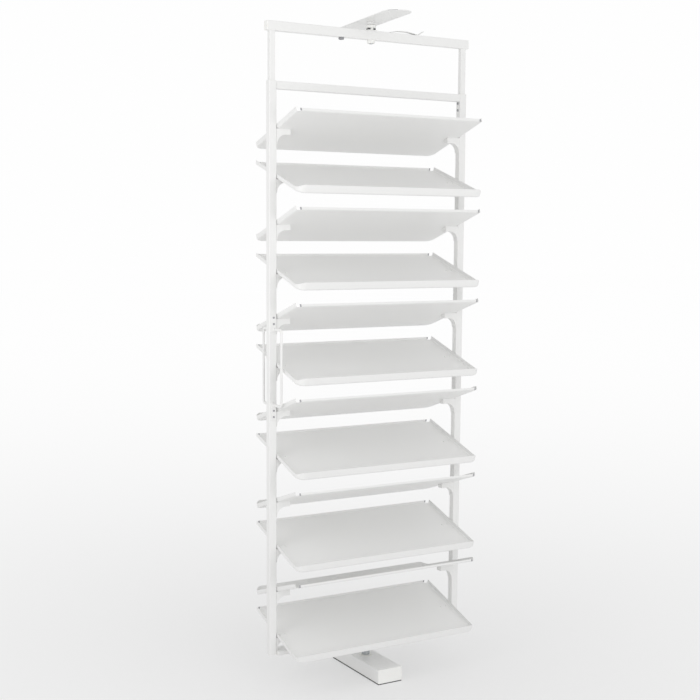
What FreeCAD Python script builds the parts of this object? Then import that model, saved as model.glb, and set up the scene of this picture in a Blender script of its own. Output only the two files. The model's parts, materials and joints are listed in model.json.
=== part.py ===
import FreeCAD, Part
import math
import os
import Sketcher

# Rotating rack with twelve sloping trays between a base on the floor and a plate on the ceiling.
# X runs along the frame, Y is its depth with the front at minus Y, and Z is up. The origin lies on
# the turning axis at the floor. All lengths are in millimetres and all angles in degrees.

SIZES = {
    # base
    "base_width": 86,
    "base_length": 300,
    "base_height": 47.4,
    "base_wall": 2.5,
    "base_edge_radius": 3,
    "floor_plate_thickness": 3,
    "floor_plate_inset": 1,
    "floor_hole_radius": 3.25,
    "floor_hole_side_distance": 15,
    "floor_hole_end_distance": 30,
    "end_cap_thickness": 3,
    "end_cap_plug_depth": 12,
    # bearing and spindle
    "housing_wall": 7,
    "housing_floor_thickness": 4,
    "housing_head_gap": 3.9,
    "race_radius": 26,
    "race_gap": 1,
    "race_height": 5,
    "ball_radius": 4,
    "ball_clearance": 0.05,
    "groove_depth": 1.2,
    "cage_rim_width": 1,
    "cage_thickness": 2.8,
    "cage_clearance": 0.3,
    "spindle_radius": 13,
    "spigot_radius": 12,
    "running_fit": 0.05,
    "spindle_collar_radius": 23,
    "spindle_collar_height": 6,
    "spindle_flange_radius": 24,
    "spindle_flange_height": 6,
    "guide_bush_wall": 4,
    "guide_bush_flange_width": 5,
    "guide_bush_flange_height": 2,
    "guide_bush_depth": 6,
    # turning frame
    "frame_width": 700,
    "post_width": 24,
    "post_depth": 22,
    "post_wall": 1.5,
    "post_edge_radius": 2,
    "post_foot_height": 105,
    "foot_plug_flange_height": 2,
    "foot_plug_depth": 15,
    "bottom_bar_depth": 50,
    "bottom_bar_height": 12,
    "middle_bar_depth": 20,
    "middle_bar_height": 23,
    "bar_wall": 1.5,
    "slide_clearance": 0.3,
    "sleeve_wall": 1.2,
    "sleeve_end_length": 3,
    "sleeve_lip_height": 1.5,
    "set_screw_gap": 1.2,
    "set_screw_spacing": 21,
    # handles on the left post
    "handle_middle_height": 994,
    "handle_bar_width": 6,
    "handle_bar_depth": 8,
    "handle_arm_height": 8,
    "handle_reach": 51.5,
    "handle_half_length": 118,
    "handle_bend_radius": 14,
    "handle_edge_radius": 2,
    "handle_bar_shift": 3.3,
    "handle_foot_width": 18,
    "handle_foot_thickness": 4,
    "handle_foot_end_length": 9,
    "handle_screw_gap": 12,
    "handle_screw_spacing": 19,
    # trays
    "top_tray_drop_height": 140.5,
    "bottom_tray_rise_height": 55.75,
    "tray_tilt": 18.35,
    "tray_gap": 1,
    "tray_low_reach": 152,
    "tray_high_reach": 148,
    "tray_sheet": 1.2,
    "tray_bend_radius": 6,
    "tray_corner_radius": 27,
    "low_wall_height": 26,
    "side_wall_height": 14,
    "high_lip_height": 7.5,
    "lip_relief_depth": 8,
    "lip_relief_width": 8,
    # brackets under the ends of the trays
    "bracket_length": 46,
    "bracket_nose": 13,
    "bracket_arc_radius": 28,
    "bracket_wall": 2,
    "bracket_tail": 2,
    "bracket_rise": 8,
    "rib_start": 10,
    "rib_depth": 10,
    "tray_screw_inset": 16,
    "tray_screw_spacing": 20,
    "bracket_screw_drop": 8,
    "bracket_screw_spacing": 12,
    # screws
    "hole_clearance": 0.1,
    "small_shank_radius": 1.5,
    "small_head_radius": 3.2,
    "small_head_height": 1.4,
    "tray_screw_bite": 8,
    "handle_shank_radius": 2,
    "handle_head_radius": 3,
    "handle_head_height": 2.4,
    "set_shank_radius": 3,
    "set_head_radius": 3.8,
    "set_head_height": 3,
    # sliding upper frame
    "upper_tube_wall": 1.2,
    "upper_tube_insert_length": 180,
    "upper_tube_shown_length": 142.5,
    "top_bar_height": 27,
    "top_bar_depth": 20,
    "top_bar_overhang_length": 6.5,
    "connector_depth": 30,
    "connector_screw_drop": 6,
    # pivot at the ceiling
    "pin_radius": 5,
    "pin_end_length": 12,
    "pin_top_gap": 1.2,
    "pin_collar_rim_width": 2.5,
    "pin_collar_height": 2.4,
    "pin_collar_gap": 1.4,
    "bush_spigot_radius": 8.4,
    "bush_flange_rim_width": 3.3,
    "bush_flange_height": 2.5,
    "bush_neck_radius": 7.5,
    "bush_neck_height": 6,
    "bush_head_radius": 15,
    "bush_head_height": 8.5,
    "bush_screw_gap": 0.28,
    "bush_screw_edge_distance": 4.5,
    "bush_screw_head_height": 4.5,
    "nub_radius": 12,
    "nub_height": 10,
    "plate_bottom_height": 2029,
    "plate_thickness": 2,
    "plate_width": 86,
    "plate_half_length": 225,
    "plate_turn": 7.3,
    "plate_hole_radius": 3.25,
    "plate_hole_along": 165,
    "plate_hole_across": 14,
    "socket_radius": 12,
    "socket_height": 8,
    "socket_gap": 1.5,
    # leaf spring of the pivot pin
    "spring_thickness": 1.5,
    "spring_side_gap": 1,
    "spring_fork_drop_height": 7.5,
    "spring_fork_reach": 9,
    "spring_fork_end": 24,
    "spring_hump_start": 93,
    "spring_hump_length": 40,
    "spring_hump_height": 6.5,
    "spring_fold_distance": 165,
    "spring_fold_half_width": 4,
    "spring_fold_gap": 0.4,
    "spring_tab_length": 19,
    "spring_tab_height": 12.5,
    "spring_slot_start": 38,
    "spring_slot_end": 104,
    "rivet_head_radius": 3,
    # one overrun for every cut
    "overrun": 1,
}

ACROSS = (1, 0, 0)
ALONG = (0, 1, 0)
TOLERANCE = 1e-4
TRAY_COUNT = 12
BALL_COUNT = 12
HEAD_RIM_SHARE = 0.5
HEAD_TOP_SHARE = 0.7


class Size:
    """A number together with the sheet formula that gives it."""

    def __init__(self, value, formula):
        self.value = float(value)
        self.formula = formula

    def __add__(self, other):
        other = as_size(other)
        return Size(self.value + other.value, f"({self.formula} + {other.formula})")

    def __sub__(self, other):
        other = as_size(other)
        return Size(self.value - other.value, f"({self.formula} - {other.formula})")

    def __mul__(self, other):
        other = as_size(other)
        return Size(self.value * other.value, f"({self.formula} * {other.formula})")

    def __truediv__(self, other):
        other = as_size(other)
        return Size(self.value / other.value, f"({self.formula} / {other.formula})")

    def __neg__(self):
        return Size(-self.value, f"(0 - {self.formula})")

    def root(self):
        return Size(math.sqrt(self.value), f"sqrt({self.formula})")


def as_size(number):
    return number if isinstance(number, Size) else Size(number, repr(number))


class Sheet:
    """The sheet of driving sizes, each read as an attribute."""

    def __init__(self, document, sizes):
        self.sizes = sizes
        cells = document.addObject("Spreadsheet::Sheet", "sizes")
        for row, (name, value) in enumerate(sizes.items(), start=1):
            cells.set(f"A{row}", name)
            cells.set(f"B{row}", str(value))
            cells.setAlias(f"B{row}", name)
        document.recompute()

    def __getattr__(self, name):
        return Size(self.sizes[name], f"sizes.{name}")


doc = FreeCAD.newDocument("rotating_rack")
s = Sheet(doc, SIZES)
NODES = []

# Helpers that tie an object of the document to the sheet


def bind(thing, path, size):
    """Ties one property to the sheet."""
    thing.setExpression(path, as_size(size).formula)


def node(thing, label):
    """Names a finished sub-part and puts it on the list of files."""
    thing.Label = label
    NODES.append(thing)
    return thing


def new_body(name):
    return doc.addObject("PartDesign::Body", name)


def sketch_on(body, role, offset=0, tilt=None):
    """Makes a sketch on one of the body's own planes, moved along its normal and tilted about X."""
    plane = next(item for item in body.Origin.OriginFeatures if item.Role == role)
    sketch = body.newObject("Sketcher::SketchObject", body.Name + "_sketch")
    sketch.AttachmentSupport = [(plane, "")]
    sketch.MapMode = "FlatFace"
    turn = FreeCAD.Rotation(FreeCAD.Vector(1, 0, 0), as_size(tilt or 0).value)
    sketch.AttachmentOffset = FreeCAD.Placement(FreeCAD.Vector(0, 0, as_size(offset).value), turn)
    bind(sketch, "AttachmentOffset.Base.z", offset)
    if tilt is not None:
        bind(sketch, "AttachmentOffset.Rotation.Angle", tilt)
    return sketch


def fix_point(sketch, edge, end, x, y):
    """Ties one end of an edge to its place in the sheet."""
    across = sketch.addConstraint(Sketcher.Constraint("DistanceX", -1, 1, edge, end, x.value))
    bind(sketch, f"Constraints[{across}]", x)
    along = sketch.addConstraint(Sketcher.Constraint("DistanceY", -1, 1, edge, end, y.value))
    bind(sketch, f"Constraints[{along}]", y)


def draw_arc(sketch, start, end, radius, left):
    """Adds an arc whose centre lies left or right of the way from start to end."""
    first = FreeCAD.Vector(start[0].value, start[1].value, 0)
    second = FreeCAD.Vector(end[0].value, end[1].value, 0)
    chord = second - first
    height = math.sqrt(max(radius.value ** 2 - (chord.Length / 2) ** 2, 0))
    normal = FreeCAD.Vector(-chord.y, chord.x, 0).normalize()
    centre = (first + second) / 2 + normal * (height if left else -height)
    circle = Part.Circle(centre, FreeCAD.Vector(0, 0, 1), radius.value)
    ends = (first, second) if left else (second, first)
    angles = [math.atan2(point.y - centre.y, point.x - centre.x) for point in ends]
    if angles[1] <= angles[0]:
        angles[1] += 2 * math.pi
    edge = sketch.addGeometry(Part.ArcOfCircle(circle, angles[0], angles[1]), False)
    bound = sketch.addConstraint(Sketcher.Constraint("Radius", edge, radius.value))
    bind(sketch, f"Constraints[{bound}]", radius)
    return edge, (1 if left else 2), (2 if left else 1)


def outline(sketch, points):
    """Draws a closed outline. A point is x, y and, where an arc leaves it, its radius and side."""
    points = [tuple(as_size(v) for v in point[:2]) + tuple(point[2:]) for point in points]
    edges = []
    for index, point in enumerate(points):
        following = points[(index + 1) % len(points)]
        if len(point) > 2:
            edges.append(draw_arc(sketch, point, following, as_size(point[2]), point[3] == "left"))
        else:
            first = FreeCAD.Vector(point[0].value, point[1].value, 0)
            second = FreeCAD.Vector(following[0].value, following[1].value, 0)
            edges.append((sketch.addGeometry(Part.LineSegment(first, second), False), 1, 2))
    for index, point in enumerate(points):
        edge, start, _ = edges[index]
        before, _, end = edges[index - 1]
        sketch.addConstraint(Sketcher.Constraint("Coincident", before, end, edge, start))
        fix_point(sketch, edge, start, point[0], point[1])


def rectangle(sketch, left, bottom, right, top):
    outline(sketch, [(left, bottom), (right, bottom), (right, top), (left, top)])


def centred(sketch, width, height, x=0, y=0):
    """Draws a rectangle about a middle point."""
    x = as_size(x)
    y = as_size(y)
    rectangle(sketch, x - width / 2, y - height / 2, x + width / 2, y + height / 2)


def circle(sketch, x, y, radius):
    x = as_size(x)
    y = as_size(y)
    shape = Part.Circle(FreeCAD.Vector(x.value, y.value, 0), FreeCAD.Vector(0, 0, 1), radius.value)
    edge = sketch.addGeometry(shape, False)
    bound = sketch.addConstraint(Sketcher.Constraint("Radius", edge, radius.value))
    bind(sketch, f"Constraints[{bound}]", radius)
    fix_point(sketch, edge, 3, x, y)


def extrude(kind, body, sketch, length, both=False, reverse=False):
    feature = body.newObject("PartDesign::" + kind, body.Name + "_" + kind.lower())
    feature.Profile = sketch
    feature.SideType = "Symmetric" if both else "One side"
    feature.Reversed = reverse
    bind(feature, "Length", length)
    return feature


def pad(body, sketch, length, both=False, reverse=False):
    return extrude("Pad", body, sketch, length, both, reverse)


def pocket(body, sketch, length, both=False, reverse=False):
    return extrude("Pocket", body, sketch, length, both, reverse)


def revolve(body, points):
    """Turns a profile of radius and height about the body's own Z axis."""
    sketch = sketch_on(body, "XZ_Plane")
    outline(sketch, points)
    feature = body.newObject("PartDesign::Revolution", body.Name + "_turned")
    feature.Profile = sketch
    feature.ReferenceAxis = (sketch, ["V_Axis"])
    feature.Angle = 360
    return feature


def round_edges(body, base, radius, wanted):
    """Rounds the edges of a feature that a test picks out."""
    doc.recompute()
    names = [f"Edge{i}" for i, edge in enumerate(base.Shape.Edges, start=1) if wanted(edge)]
    feature = body.newObject("PartDesign::Fillet", body.Name + "_round")
    feature.Base = (base, names)
    bind(feature, "Radius", radius)
    return feature


def is_flat_at(height):
    """Tests whether an edge lies in the level plane at a height."""
    def test(edge):
        box = edge.BoundBox
        return abs(box.ZMin - height.value) < TOLERANCE and abs(box.ZMax - height.value) < TOLERANCE
    return test


def runs_along(axis, side=None):
    """Tests whether an edge is straight along an axis, and beyond a place on another if given."""
    def test(edge):
        box = edge.BoundBox
        spans = {"x": box.XLength, "y": box.YLength, "z": box.ZLength}
        long_enough = spans.pop(axis) > TOLERANCE
        return long_enough and all(v < TOLERANCE for v in spans.values()) and (not side or side(box))
    return test


def place(thing, x=0, y=0, z=0, axis=(0, 0, 1), angle=0):
    """Puts an object in its place, which follows the sheet."""
    base = FreeCAD.Vector(as_size(x).value, as_size(y).value, as_size(z).value)
    turn = FreeCAD.Rotation(FreeCAD.Vector(*axis), as_size(angle).value)
    thing.Placement = FreeCAD.Placement(base, turn)
    for letter, size in zip("xyz", (x, y, z)):
        bind(thing, "Placement.Base." + letter, size)
    if as_size(angle).value:
        bind(thing, "Placement.Rotation.Angle", angle)
    return thing


def group(parts, name, **where):
    """Holds several solids as one sub-part, or one solid at a second place."""
    compound = doc.addObject("Part::Compound", name)
    compound.Links = parts
    return place(compound, **where)


def mirrored(source, name, normal):
    """Makes the mirror image of an object across a plane through the origin."""
    image = doc.addObject("Part::Mirroring", name)
    image.Source = source
    image.Normal = FreeCAD.Vector(*normal)
    return image


def pair(body, label, normal):
    """Makes one node of a solid and its mirror image."""
    return node(group([body, mirrored(body, body.Name + "_image", normal)], label), label)


def hollow_sketch(body, role, offset, width, height, wall, x=0, y=0):
    """Draws a tube's section."""
    sketch = sketch_on(body, role, offset)
    centred(sketch, width, height, x, y)
    centred(sketch, width - wall * 2, height - wall * 2, x, y)
    return sketch


def end_cap(name, role, offset, outer, inner, middle, thickness, depth, outwards):
    """Makes a flat cap with a plug behind it, for the open end of a tube or channel."""
    body = new_body(name)
    face = sketch_on(body, role, offset)
    centred(face, outer[0], outer[1], *middle)
    pad(body, face, thickness, reverse=not outwards)
    plug = sketch_on(body, role, offset)
    centred(plug, inner[0], inner[1], *middle)
    pad(body, plug, depth, reverse=outwards)
    return body


def screw(name, head_radius, head_height, shank_radius, shank_length):
    """Makes a screw on the Z axis with the underside of its head at the origin."""
    body = new_body(name)
    revolve(body, [
        (0, -shank_length), (shank_radius, -shank_length), (shank_radius, 0), (head_radius, 0),
        (head_radius, head_height * HEAD_RIM_SHARE), (head_radius * HEAD_TOP_SHARE, head_height),
        (0, head_height),
    ])
    return body


# Heights and places that several pieces share
post_centre = (s.frame_width - s.post_width) / 2
post_face = s.frame_width / 2 - s.post_width
tray_half_width = post_face - s.tray_gap
socket_bottom = s.plate_bottom_height - s.socket_height
collar_top = socket_bottom - s.socket_gap
collar_neck_top = collar_top - s.bush_head_height
top_bar_top = collar_neck_top - s.bush_neck_height - s.bush_flange_height
top_bar_bottom = top_bar_top - s.top_bar_height
post_top = top_bar_bottom - s.upper_tube_shown_length
top_tray = post_top - s.top_tray_drop_height
bottom_tray = s.post_foot_height + s.bottom_tray_rise_height
set_screw_height = post_top - s.middle_bar_height - s.set_screw_gap - s.set_head_radius
upper_tube_width = s.post_width - (s.post_wall + s.sleeve_wall + s.slide_clearance) * 2
upper_tube_depth = s.post_depth - (s.post_wall + s.sleeve_wall + s.slide_clearance) * 2
upper_tube_face = post_centre - upper_tube_width / 2
fork_height = top_bar_top - s.spring_fork_drop_height
spring_width = s.top_bar_depth - (s.bar_wall + s.spring_side_gap) * 2
cap_inner_end = s.base_length / 2 - s.end_cap_thickness
base_bottom = s.floor_plate_thickness
housing_seat = base_bottom + s.housing_floor_thickness
ball_pitch_radius = (s.spigot_radius + s.race_radius) / 2
race_top = housing_seat + s.race_height
ball_height = race_top - s.groove_depth + s.ball_radius + s.ball_clearance
upper_race_bottom = ball_height + s.ball_radius + s.ball_clearance - s.groove_depth
upper_race_top = upper_race_bottom + s.race_height


def tray_height(index):
    """Height of a tray's underside on the frame's middle plane, counted from the top."""
    return top_tray - (top_tray - bottom_tray) * index / (TRAY_COUNT - 1)


def tray_angle(index):
    """Tilt of a tray about X. The first, third and so on have their high edge in front."""
    return -s.tray_tilt if index % 2 == 0 else s.tray_tilt


def make_floor_plate():
    body = new_body("floor_plate_body")
    flat = sketch_on(body, "XY_Plane")
    inset = s.floor_plate_inset * 2
    centred(flat, s.base_width - inset, s.base_length - inset)
    for side in (-1, 1):
        for end in (-1, 1):
            x = (s.base_width / 2 - s.floor_hole_side_distance) * side
            y = (s.base_length / 2 - s.floor_hole_end_distance) * end
            circle(flat, x, y, s.floor_hole_radius)
    pad(body, flat, s.floor_plate_thickness)
    node(body, "floor_plate")


def make_base_bar():
    body = new_body("base_bar_body")
    half = s.base_width / 2
    inner = half - s.base_wall
    radius = s.base_edge_radius
    section = sketch_on(body, "XZ_Plane")
    outline(section, [
        (-half, base_bottom), (-inner, base_bottom), (-inner, s.base_height - s.base_wall),
        (inner, s.base_height - s.base_wall), (inner, base_bottom), (half, base_bottom),
        (half, s.base_height - radius, radius, "left"), (half - radius, s.base_height),
        (radius - half, s.base_height, radius, "left"), (-half, s.base_height - radius),
    ])
    pad(body, section, cap_inner_end * 2, both=True)
    hole = sketch_on(body, "XY_Plane", s.base_height)
    circle(hole, 0, 0, s.spindle_radius + s.running_fit + s.guide_bush_wall)
    pocket(body, hole, s.base_wall + s.overrun)
    node(body, "base_bar")


def make_base_end_caps():
    height = s.base_height - base_bottom
    gap = s.slide_clearance * 2
    inner_width = s.base_width - s.base_wall * 2 - gap
    inner_height = height - s.base_wall - gap
    body = new_body("base_end_cap_body")
    half = s.base_width / 2
    radius = s.base_edge_radius
    face = sketch_on(body, "XZ_Plane", cap_inner_end)
    outline(face, [
        (-half, base_bottom), (half, base_bottom),
        (half, s.base_height - radius, radius, "left"), (half - radius, s.base_height),
        (radius - half, s.base_height, radius, "left"), (-half, s.base_height - radius),
    ])
    pad(body, face, s.end_cap_thickness)
    plug = sketch_on(body, "XZ_Plane", cap_inner_end)
    centred(plug, inner_width, inner_height, 0, base_bottom + s.slide_clearance + inner_height / 2)
    pad(body, plug, s.end_cap_plug_depth, reverse=True)
    pair(body, "base_end_caps", ALONG)


def make_bearing():
    housing = new_body("bearing_housing_body")
    inner = s.race_radius + s.race_gap
    outer = inner + s.housing_wall
    top = s.base_height - s.base_wall - s.housing_head_gap
    revolve(housing, [
        (0, base_bottom), (outer, base_bottom), (outer, top), (inner, top),
        (inner, housing_seat), (0, housing_seat),
    ])
    node(housing, "bearing_housing")

    bore = s.spigot_radius + s.running_fit
    groove_radius = s.ball_radius + s.ball_clearance
    lift = s.ball_radius + s.ball_clearance - s.groove_depth
    half_groove = (groove_radius * groove_radius - lift * lift).root()
    near = ball_pitch_radius - half_groove
    far = ball_pitch_radius + half_groove
    lower = new_body("lower_race_body")
    revolve(lower, [
        (bore, housing_seat), (s.race_radius, housing_seat), (s.race_radius, race_top),
        (far, race_top, groove_radius, "right"), (near, race_top), (bore, race_top),
    ])
    node(lower, "lower_race")
    upper = new_body("upper_race_body")
    revolve(upper, [
        (bore, upper_race_bottom), (near, upper_race_bottom, groove_radius, "right"),
        (far, upper_race_bottom), (s.race_radius, upper_race_bottom),
        (s.race_radius, upper_race_top), (bore, upper_race_top),
    ])
    node(upper, "upper_race")

    ball = doc.addObject("Part::Sphere", "ball")
    bind(ball, "Radius", s.ball_radius)
    place(ball, x=ball_pitch_radius)
    balls = [
        group([ball], "ball_at", z=ball_height, angle=as_size(360) * index / BALL_COUNT)
        for index in range(BALL_COUNT)
    ]
    node(group(balls, "bearing_balls_group"), "bearing_balls")

    cage = new_body("ball_cage_body")
    half_width = s.ball_radius + s.cage_clearance + s.cage_rim_width
    ring = sketch_on(cage, "XY_Plane", ball_height)
    circle(ring, 0, 0, ball_pitch_radius + half_width)
    circle(ring, 0, 0, ball_pitch_radius - half_width)
    pad(cage, ring, s.cage_thickness, both=True)
    seat = sketch_on(cage, "XY_Plane", ball_height)
    circle(seat, ball_pitch_radius, 0, s.ball_radius + s.cage_clearance)
    hole = pocket(cage, seat, s.cage_thickness + s.overrun, both=True)
    pattern = cage.newObject("PartDesign::PolarPattern", "cage_holes")
    pattern.Originals = [hole]
    pattern.Axis = (seat, ["N_Axis"])
    pattern.Angle = 360
    pattern.Occurrences = BALL_COUNT
    cage.Tip = pattern
    node(cage, "ball_cage")

    bush = new_body("guide_bush_body")
    inner_radius = s.spindle_radius + s.running_fit
    outer_radius = inner_radius + s.guide_bush_wall
    flange_top = s.base_height + s.guide_bush_flange_height
    revolve(bush, [
        (inner_radius, s.base_height - s.guide_bush_depth),
        (outer_radius, s.base_height - s.guide_bush_depth), (outer_radius, s.base_height),
        (outer_radius + s.guide_bush_flange_width, s.base_height),
        (outer_radius + s.guide_bush_flange_width, flange_top), (inner_radius, flange_top),
    ])
    node(bush, "guide_bush")


def make_spindle():
    body = new_body("spindle_body")
    collar_top = upper_race_top + s.spindle_collar_height
    flange_bottom = s.post_foot_height - s.spindle_flange_height
    revolve(body, [
        (0, housing_seat + s.slide_clearance), (s.spigot_radius, housing_seat + s.slide_clearance),
        (s.spigot_radius, upper_race_top), (s.spindle_collar_radius, upper_race_top),
        (s.spindle_collar_radius, collar_top), (s.spindle_radius, collar_top),
        (s.spindle_radius, flange_bottom), (s.spindle_flange_radius, flange_bottom),
        (s.spindle_flange_radius, s.post_foot_height), (0, s.post_foot_height),
    ])
    node(body, "spindle")


def make_crossbar(label, bottom, height, depth):
    """Makes a level tube that joins the two posts."""
    body = new_body(label + "_body")
    section = hollow_sketch(body, "YZ_Plane", 0, depth, height, s.bar_wall, 0, bottom + height / 2)
    pad(body, section, post_face * 2, both=True)
    node(body, label)


def make_post(label, side):
    """Makes a lower post with the holes of its brackets, set screws and, on the left, handles."""
    body = new_body(label + "_body")
    bottom = s.post_foot_height + s.foot_plug_flange_height
    section = hollow_sketch(body, "XY_Plane", bottom, s.post_width, s.post_depth, s.post_wall,
                            post_centre * side)
    tube = pad(body, section, post_top - bottom)
    half_depth = s.post_depth.value / 2
    half_width = s.post_width.value / 2

    def outer_corner(box):
        away = abs(abs(box.XMin) - post_centre.value)
        return abs(abs(box.YMin) - half_depth) < TOLERANCE and abs(away - half_width) < TOLERANCE

    round_edges(body, tube, s.post_edge_radius, runs_along("z", outer_corner))
    depth = s.post_wall + s.overrun
    wall = sketch_on(body, "YZ_Plane", post_face * side)
    first = top_tray - s.bracket_screw_drop
    circle(wall, 0, first, s.small_shank_radius + s.hole_clearance)
    circle(wall, 0, first - s.bracket_screw_spacing, s.small_shank_radius + s.hole_clearance)
    holes = pocket(body, wall, depth, reverse=side > 0)
    pattern = body.newObject("PartDesign::LinearPattern", body.Name + "_holes")
    pattern.Originals = [holes]
    pattern.Direction = (wall, ["V_Axis"])
    pattern.Reversed = True
    bind(pattern, "Length", top_tray - bottom_tray)
    pattern.Occurrences = TRAY_COUNT
    body.Tip = pattern
    clamp = sketch_on(body, "YZ_Plane", post_face * side)
    for place_down in (0, 1):
        height = set_screw_height - s.set_screw_spacing * place_down
        circle(clamp, 0, height, s.set_shank_radius + s.hole_clearance)
    pocket(body, clamp, depth, reverse=side > 0)
    if side < 0:
        drilled = sketch_on(body, "XZ_Plane", s.post_depth / 2)
        for height in handle_screw_heights():
            circle(drilled, -post_centre, height, s.handle_shank_radius + s.hole_clearance)
        pocket(body, drilled, s.post_depth + s.overrun)
    node(body, label)


def handle_screw_heights():
    """Heights of the four screws of a handle, two in each foot."""
    near = s.handle_half_length + s.handle_screw_gap
    far = near + s.handle_screw_spacing
    middle = s.handle_middle_height
    return [middle + far, middle + near, middle - near, middle - far]


def make_foot_plugs():
    gap = s.slide_clearance * 2
    inner = (s.post_width - s.post_wall * 2 - gap, s.post_depth - s.post_wall * 2 - gap)
    seam = s.post_foot_height + s.foot_plug_flange_height
    body = end_cap("foot_plug_body", "XY_Plane", seam, (s.post_width, s.post_depth), inner,
                   (-post_centre, 0), s.foot_plug_flange_height, s.foot_plug_depth, outwards=False)
    pair(body, "post_foot_plugs", ACROSS)


def make_sleeves():
    """Makes the plastic sleeves in the mouths of the posts, in which the upper tubes slide."""
    body = new_body("sleeve_body")
    gap = s.slide_clearance * 2
    bore = (upper_tube_width + gap, upper_tube_depth + gap)
    outer = (s.post_width - s.post_wall * 2, s.post_depth - s.post_wall * 2)
    stem = sketch_on(body, "XY_Plane", post_top)
    centred(stem, outer[0], outer[1], -post_centre)
    centred(stem, bore[0], bore[1], -post_centre)
    length = post_top - set_screw_height + s.set_screw_spacing + s.set_shank_radius
    pad(body, stem, length + s.sleeve_end_length, reverse=True)
    lip = sketch_on(body, "XY_Plane", post_top)
    centred(lip, s.post_width, s.post_depth, -post_centre)
    centred(lip, bore[0], bore[1], -post_centre)
    pad(body, lip, s.sleeve_lip_height)
    hole = sketch_on(body, "YZ_Plane", -post_centre)
    for place_down in (0, 1):
        height = set_screw_height - s.set_screw_spacing * place_down
        circle(hole, 0, height, s.set_shank_radius + s.hole_clearance)
    pocket(body, hole, s.post_width / 2, reverse=True)
    pair(body, "telescope_sleeves", ACROSS)


def make_height_set_screws():
    """Makes the dark screws that hold the upper tubes, two in the inner face of each post."""
    reach = (s.post_width - upper_tube_width) / 2 - s.slide_clearance
    master = screw("set_screw", s.set_head_radius, s.set_head_height, s.set_shank_radius, reach)
    screws = []
    for side in (-1, 1):
        for place_down in (0, 1):
            height = set_screw_height - s.set_screw_spacing * place_down
            screws.append(group([master], "set_screw_at", x=post_face * side, z=height,
                                axis=ALONG, angle=-90 * side))
    node(group(screws, "height_set_screws_group"), "height_set_screws")


def make_handles():
    front = new_body("handle_front_body")
    middle = s.handle_middle_height
    face = s.post_depth / 2
    out = face + s.handle_reach
    inside = out - s.handle_bar_depth
    half = s.handle_half_length
    inner_half = half - s.handle_arm_height
    outer_bend = s.handle_bend_radius
    inner_bend = outer_bend - s.handle_arm_height
    bow = sketch_on(front, "YZ_Plane", s.handle_bar_shift - post_centre)
    outline(bow, [
        (-face, middle + half), (outer_bend - out, middle + half, outer_bend, "left"),
        (-out, middle + half - outer_bend), (-out, middle - half + outer_bend, outer_bend, "left"),
        (outer_bend - out, middle - half), (-face, middle - half), (-face, middle - inner_half),
        (-inside + inner_bend, middle - inner_half, inner_bend, "right"),
        (-inside, middle - inner_half + inner_bend),
        (-inside, middle + inner_half - inner_bend, inner_bend, "right"),
        (-inside + inner_bend, middle + inner_half), (-face, middle + inner_half),
    ])
    bar = pad(front, bow, s.handle_bar_width, both=True)
    post_side = -face.value

    def away_from_post(edge):
        box = edge.BoundBox
        return box.YMax < post_side - TOLERANCE or box.YLength > s.handle_foot_thickness.value

    round_edges(front, bar, s.handle_edge_radius,
                lambda edge: away_from_post(edge) and edge.BoundBox.XLength < TOLERANCE)
    foot = sketch_on(front, "YZ_Plane", -post_centre)
    foot_start = inner_half - s.handle_foot_thickness
    foot_end = half + s.handle_screw_gap + s.handle_screw_spacing + s.handle_foot_end_length
    for side in (-1, 1):
        near = middle + foot_start * side
        far = middle + foot_end * side
        rectangle(foot, -face - s.handle_foot_thickness, near, -face, far)
    pad(front, foot, s.handle_foot_width, both=True)
    drilled = sketch_on(front, "XZ_Plane", face + s.handle_foot_thickness)
    for height in handle_screw_heights():
        circle(drilled, -post_centre, height, s.handle_shank_radius + s.hole_clearance)
    pocket(front, drilled, s.handle_foot_thickness + s.overrun)
    node(front, "handle_front")
    node(mirrored(front, "handle_rear_image", ALONG), "handle_rear")

    length = s.handle_foot_thickness + s.post_wall
    master = screw("handle_screw", s.handle_head_radius, s.handle_head_height,
                   s.handle_shank_radius, length)
    screws = []
    for side in (-1, 1):
        for height in handle_screw_heights():
            screws.append(group([master], "handle_screw_at", x=-post_centre,
                                y=(face + s.handle_foot_thickness) * side, z=height,
                                axis=ACROSS, angle=-90 * side))
    node(group(screws, "handle_screws_group"), "handle_screws")


def tray_screw_places():
    """Distances of a tray's screws from the middle, two on each side."""
    outer = post_face - s.tray_screw_inset
    inner = outer - s.tray_screw_spacing
    return [-outer, -inner, inner, outer]


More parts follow.
